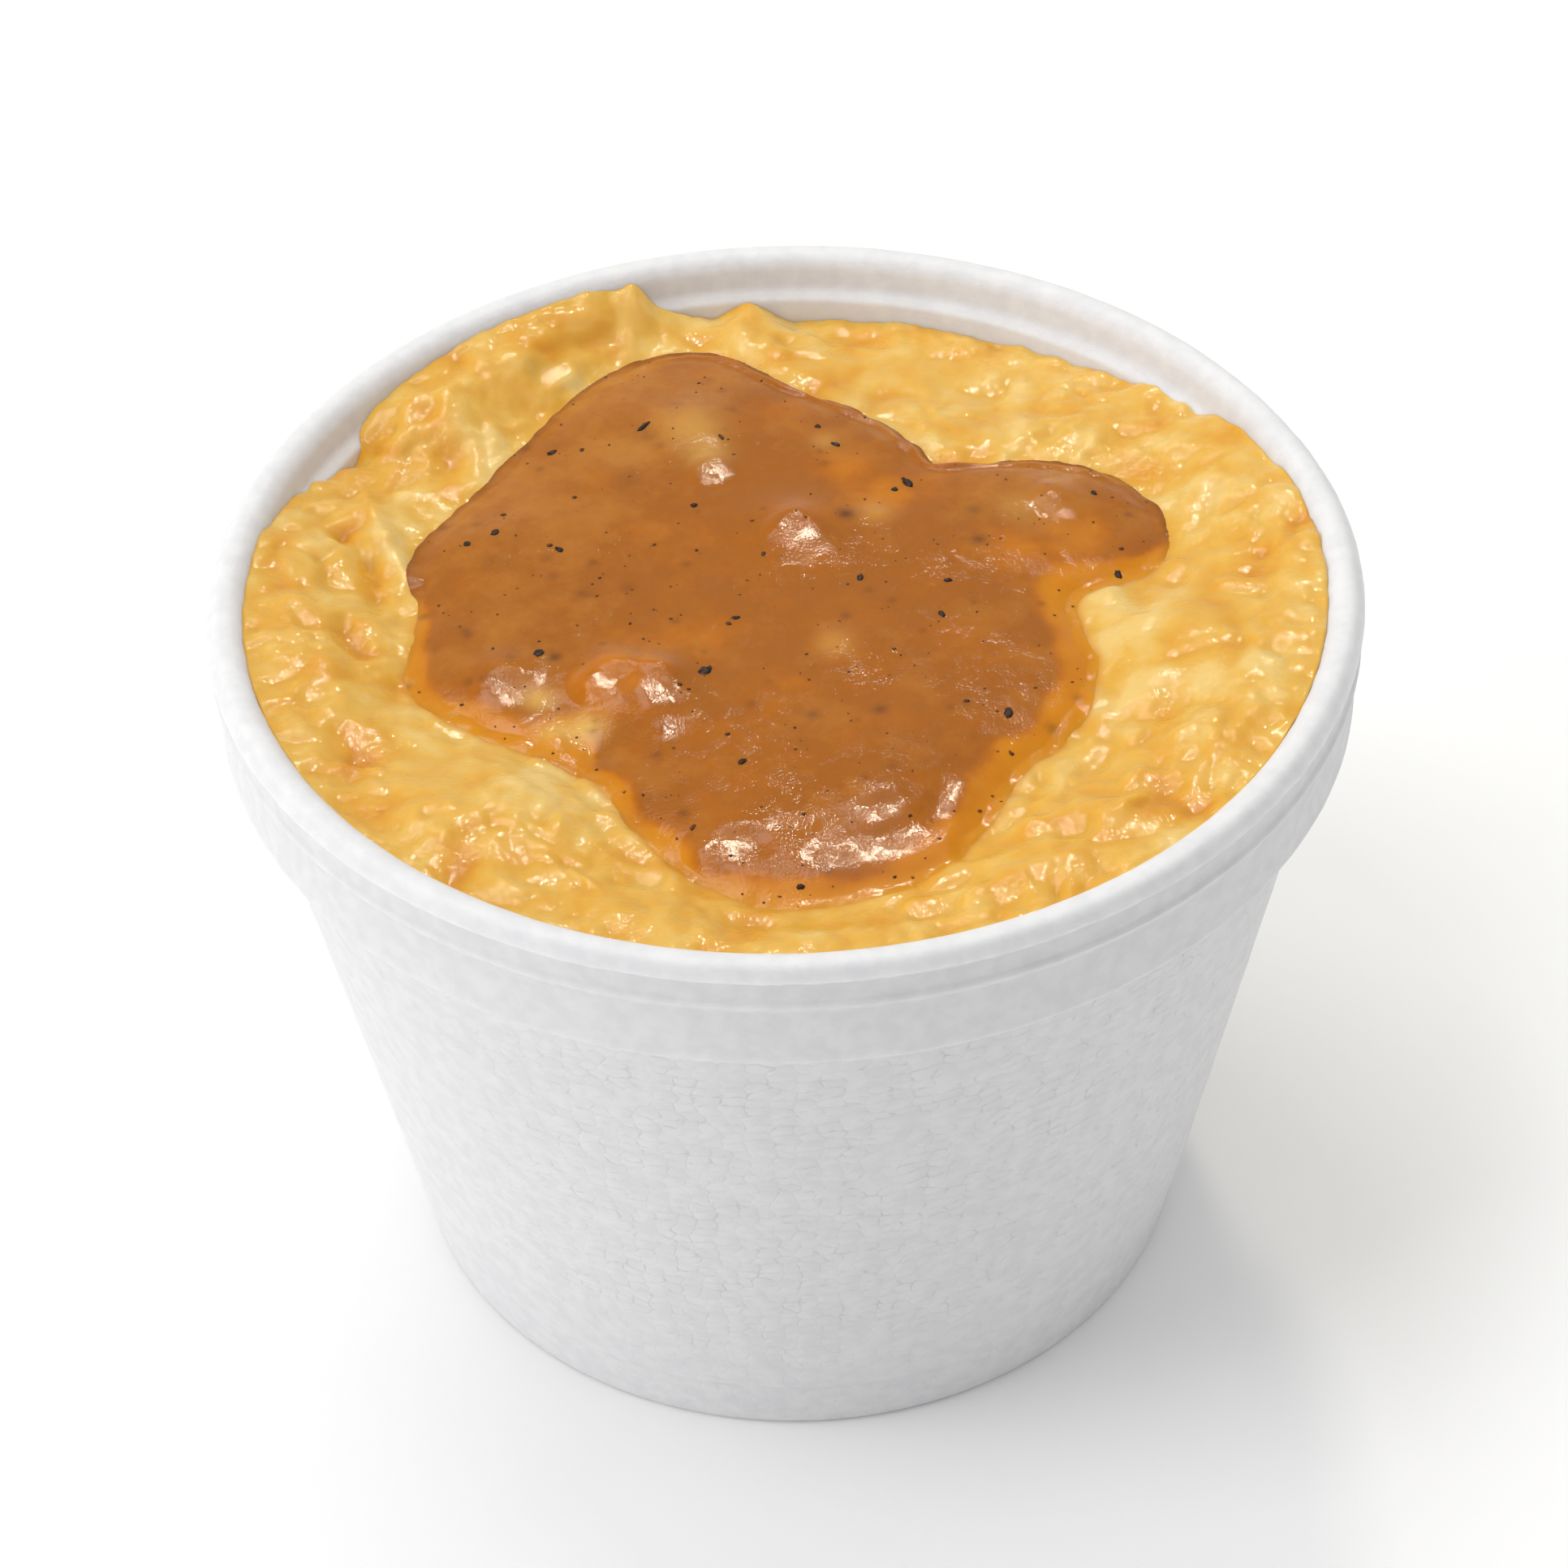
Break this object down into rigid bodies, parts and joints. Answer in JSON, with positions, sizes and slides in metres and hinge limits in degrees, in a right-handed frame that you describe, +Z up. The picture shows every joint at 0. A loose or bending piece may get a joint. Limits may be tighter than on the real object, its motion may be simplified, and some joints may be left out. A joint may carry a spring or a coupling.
{
  "type": "mashed potato side in a foam cup",
  "caption": "Small tapered foam food cup with a collared rim, filled with mashed potato that holds a pool of peppered gravy.",
  "frame": {"origin": "on the ground under the cup's axis, at the middle of the base", "axes": "+Z up along the cup's axis, -Y towards the viewer, +X to the viewer's right"},
  "size_m": [0.092, 0.092, 0.0648],
  "materials": {
    "foam": "white expanded foam, matte, moulded from fused beads",
    "potato": "moist cooked potato, buttery yellow, satin with small wet glints",
    "gravy": "brown gravy, glossy, amber where it is thin"
  },
  "bodies": {
    "root": {"foam_cup": "foam", "mashed_potato": "potato", "gravy": "gravy"}
  },
  "joints": []
}
